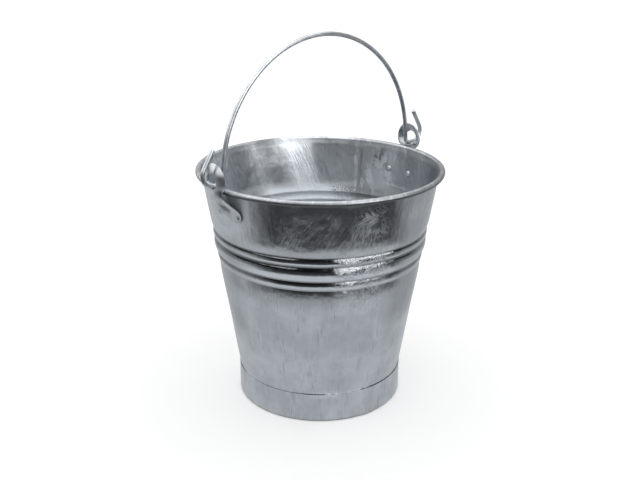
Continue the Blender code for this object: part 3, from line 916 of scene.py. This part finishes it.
    def band_shade_and_highlights(self, colour):
        """Painted shade in the valleys and painted highlights on the beads outside, and a painted
        highlight on the far side of the band inside.
        """
        valley_strength = self.line(self.bead_crystals, -0.5, 0.65)
        crest_strength = self.line(self.patch(CREST_HIGHLIGHT_PATCH), 0.55, 0.2)
        valleys = self.product(self.between(SHADED_VALLEYS), self.outside, valley_strength)
        crests = self.product(self.between(HIGHLIGHTED_CRESTS), self.outside, crest_strength)
        # painted shade in the valleys, painted highlights on the crests
        colour = self.tint(colour, 0.10, 1.0, valleys)
        colour = self.tint(colour, 0.95, 1.0, crests)
        # painted highlight on the far side of the band, on the inner face
        on_band = self.band(self.height, 194, 230, 6.0)
        far_side = self.band(self.arc, arc_at(38), arc_at(84), 14.0)
        return self.tint(colour, 1.0, 0.85, self.inside, on_band, far_side)

    def painted_highlight_and_shade(self, colour):
        """Painted highlight on the foot ring's top edge, painted shade in corners and between parts,
        and painted shade on the underside of the curl.
        """
        colour = self.tint(colour, 0.95, 1.0, self.foot_edge_highlight)
        colour = self.tint(colour, 0.03, 0.9, self.gap_shade)
        # painted shade where the curl faces down
        under = self.ramp(self.facing()[2], 0.3, -0.2)
        return self.tint(colour, 0.10, 0.8, self.on_rim, under)

    def stains(self, colour):
        """Inside: stains under the rim by the right ear, and spatter above the band by the seam."""
        drips = self.ramp(self.streaks(self.flat, 0.12, 0.06, 5.0, 0.7), 0.48, 0.58)
        colour = self.tint(colour, 0.12, 0.8, self.inside, self.patch(STAIN), drips)
        spatter = self.product(self.inside, self.patch(SPATTER))
        spots = self.noise(self.flat, 0.42, 3.0, 0.6)
        colour = self.tint(colour, 0.20, 0.7, spatter, self.ramp(spots, 0.50, 0.58))
        return self.tint(colour, 1.0, 0.8, spatter, self.ramp(spots, 0.42, 0.37))

    def colour(self):
        colour = self.specks_and_painted_light(self.inner_marks_and_painted_light(self.grain()))
        colour = self.band_shade_and_highlights(colour)
        colour = self.tint(colour, 0.92, 0.8, self.feather)
        colour = self.tint(colour, 0.97, 0.8, self.brushed_highlight)
        return self.stains(self.painted_highlight_and_shade(colour))

    def roughness(self):
        satin = self.patch(SATIN, slope=0.5)
        return self.total(
            self.line(self.mottle, 0.12, 0.05),
            self.product(self.inside, 0.20),
            self.product(self.on_rim, 0.14),
            self.product(self.inside, self.band(self.height, 190, 232, 6.0), 0.42),
            self.product(self.feather, 0.36),
            self.product(satin, self.outside, self.line(self.fan_lines, 0.7, 0.3), 0.34),
            self.product(self.gap_shade, 0.5),
            self.product(self.near_ears, 0.4),
        )

    def relief(self):
        fine = self.noise(self.flat, 0.9, 3.0, 0.6)
        wide_runs = self.streaks(self.flat, 0.045, 0.007, 3.0, 0.55, 0.4)
        beads, _ = self.strokes(cell=8.0, lean=-0.5, spread=1.4, width=1.1, length=5.0, seed=70.0)
        beads = self.math("SUBTRACT", beads, 0.5)
        return self.total(
            self.product(self.feather, 0.3),
            self.product(self.brushed_highlight, 0.5),
            self.product(beads, self.bead_crystals, self.outside, 7.5),
            self.product(fine, 0.06),
            self.product(self.mottle, 1.1),
            self.product(self.flow, self.inside, 1.6),
            self.product(self.runs, 0.25),
            self.product(self.cloud, 8.0),
            self.product(wide_runs, 5.0),
        )


def zinc_sheet():
    material, g = new_material("zinc_sheet", Sheet)
    g.metal(g.colour(), g.roughness(), g.relief(), strength=0.6, depth=0.25 * MM)
    return material


def zinc_solid(name, dark, light, roughness, darkening=None):
    """Zinc on wire and pressings: mottled, with fine lumps, on the object's own coordinates."""
    material, g = new_material(name)
    place = g.node("ShaderNodeTexCoord").outputs["Object"]
    mottle = g.noise(place, 70.0, 4.0, 0.6)
    fine = g.noise(place, 420.0, 3.0, 0.6)
    colour = g.blend(g.ramp(mottle, 0.32, 0.68), grey(dark), grey(light))
    if darkening:
        colour = g.tint(colour, 0.09, 1.0, darkening(g, place, mottle))
    # painted shade in corners and between parts
    colour = g.tint(colour, 0.05, 0.8, g.occlusion_shade(5 * MM))
    rough = g.line(mottle, 0.2, roughness - 0.1)
    relief = g.total(g.product(fine, 0.5), mottle)
    g.metal(colour, rough, relief, strength=0.5, depth=0.2 * MM)
    return material


def ear_darkening(g, place, mottle):
    """Darker in the hollow between an ear's neck and its plate, and painted shade on the sheared edge,
    weaker up by the eye.
    """
    _, y, z = g.axes(place)
    ragged = g.line(mottle, 10 * MM, -5 * MM)
    side = g.total(g.math("ABSOLUTE", y), ragged)
    height = g.total(z, ragged)
    middle = g.ramp(side, 4 * MM, 13 * MM, 1.0, 0.0)
    hollow = g.product(middle, g.band(height, 264 * MM, 275 * MM, 4 * MM))
    # painted shade on the sheared edge, where the sheet faces sideways
    sheared = g.ramp(g.math("ABSOLUTE", g.facing()[0]), 0.35, 0.6, 1.0, 0.0)
    below_eye = g.ramp(z, 283 * MM, 290 * MM, 1.0, 0.25)
    return g.most(hollow, g.product(sheared, below_eye))


# --- studio ---


def build_world():
    """Plain white light, but the zinc mirrors a studio: ceiling, backdrop, window and softbox."""
    world = bpy.data.worlds.new("studio")
    bpy.context.scene.world = world
    world.use_nodes = True
    world.cycles.sampling_method = "NONE"
    g = Graph(world.node_tree)
    right, rise = g.studio(g.node("ShaderNodeTexCoord").outputs["Generated"])
    ceiling = g.product(g.ramp(rise, 0.60, 0.88), 1.3)
    backdrop = g.ramp(g.math("ABSOLUTE", right), 88, 118)
    backdrop = g.product(backdrop, 0.5, g.ramp(rise, 0.0, 0.25, 0.3, 1.0))
    window = g.product(g.ramp(right, 15, 21), g.ramp(right, 60, 84, 1.0, 0.0))
    window = g.product(window, 2.6, g.band(rise, 0.02, 0.62, 0.08))
    softbox = g.product(g.band(right, -140, -28, 8), g.band(rise, 0.22, 0.80, 0.08), 1.2)
    mirrored = g.total(ceiling, backdrop, window, 0.02, softbox)
    glossy = g.node("ShaderNodeLightPath").outputs["Is Glossy Ray"]
    strength = g.line(glossy, g.math("SUBTRACT", mirrored, 1.0), 1.0)
    inputs = {"Color": grey(1.0, 0.0), "Strength": strength}
    g.end(g.node("ShaderNodeBackground", inputs).outputs[0], "ShaderNodeOutputWorld")


def floor_material():
    """Pale paper. In the zinc's reflections, it is dark further off on the camera's side."""
    material, g = new_material("pale_floor")
    place = g.node("ShaderNodeTexCoord").outputs["Object"]
    right, _ = g.studio(place)
    distance = g.node("ShaderNodeVectorMath", {0: place}, operation="LENGTH").outputs["Value"]
    front = g.product(g.ramp(right, 62, 102, 1.0, 0.0), g.ramp(right, -92, -38))
    far = g.product(g.ramp(distance, 0.32, 0.45), front)
    inputs = {"Color": grey(1.0, 0.03), "Strength": g.line(far, -0.51, 0.56)}
    mirrored = g.node("ShaderNodeEmission", inputs).outputs[0]
    paper = g.node("ShaderNodeBsdfDiffuse", {"Color": (0.9, 0.9, 0.9, 1)}).outputs[0]
    glow = g.node("ShaderNodeEmission", {"Color": (1, 1, 1, 1), "Strength": 0.2}).outputs[0]
    lit = g.node("ShaderNodeAddShader", {0: paper, 1: glow}).outputs[0]
    glossy = g.node("ShaderNodeLightPath").outputs["Is Glossy Ray"]
    g.end(g.node("ShaderNodeMixShader", {0: glossy, 1: lit, 2: mirrored}).outputs[0])
    return material


def build_floor():
    mesh = bpy.data.meshes.new("floor")
    half = 6.0
    corners = [(-half, -half, 0), (half, -half, 0), (half, half, 0), (-half, half, 0)]
    mesh.from_pydata(corners, [], [(0, 1, 2, 3)])
    mesh.materials.append(floor_material())
    floor = bpy.data.objects.new("floor", mesh)
    bpy.context.scene.collection.objects.link(floor)
    floor.location.z = -0.2 * MM


def build_camera():
    data = bpy.data.cameras.new("camera")
    data.lens = LENS
    camera = bpy.data.objects.new("camera", data)
    bpy.context.scene.collection.objects.link(camera)
    side = Vector((math.cos(CAMERA_SIDE), math.sin(CAMERA_SIDE), 0))
    camera.location = side * CAMERA_DISTANCE + Vector((0, 0, CAMERA_HEIGHT))
    camera.rotation_euler = (math.pi / 2 + CAMERA_PITCH, 0, CAMERA_SIDE + math.pi / 2)
    camera.rotation_euler.rotate_axis("Z", CAMERA_ROLL)
    bpy.context.scene.camera = camera


sheet = zinc_sheet()
wire = zinc_solid("zinc_wire", 0.60, 0.78, 0.34)
pressing = zinc_solid("zinc_pressing", 0.52, 0.76, 0.28, ear_darkening)
disc = zinc_solid("zinc_bottom", 0.42, 0.66, 0.34)
build_body(sheet)
build_rim_wire(wire)
build_bottom(disc)
build_foot_ring(sheet)
build_ears(pressing)
build_rivets(pressing)
build_bail(wire)
build_world()
build_floor()
build_camera()
bpy.context.scene.view_settings.view_transform = "Standard"
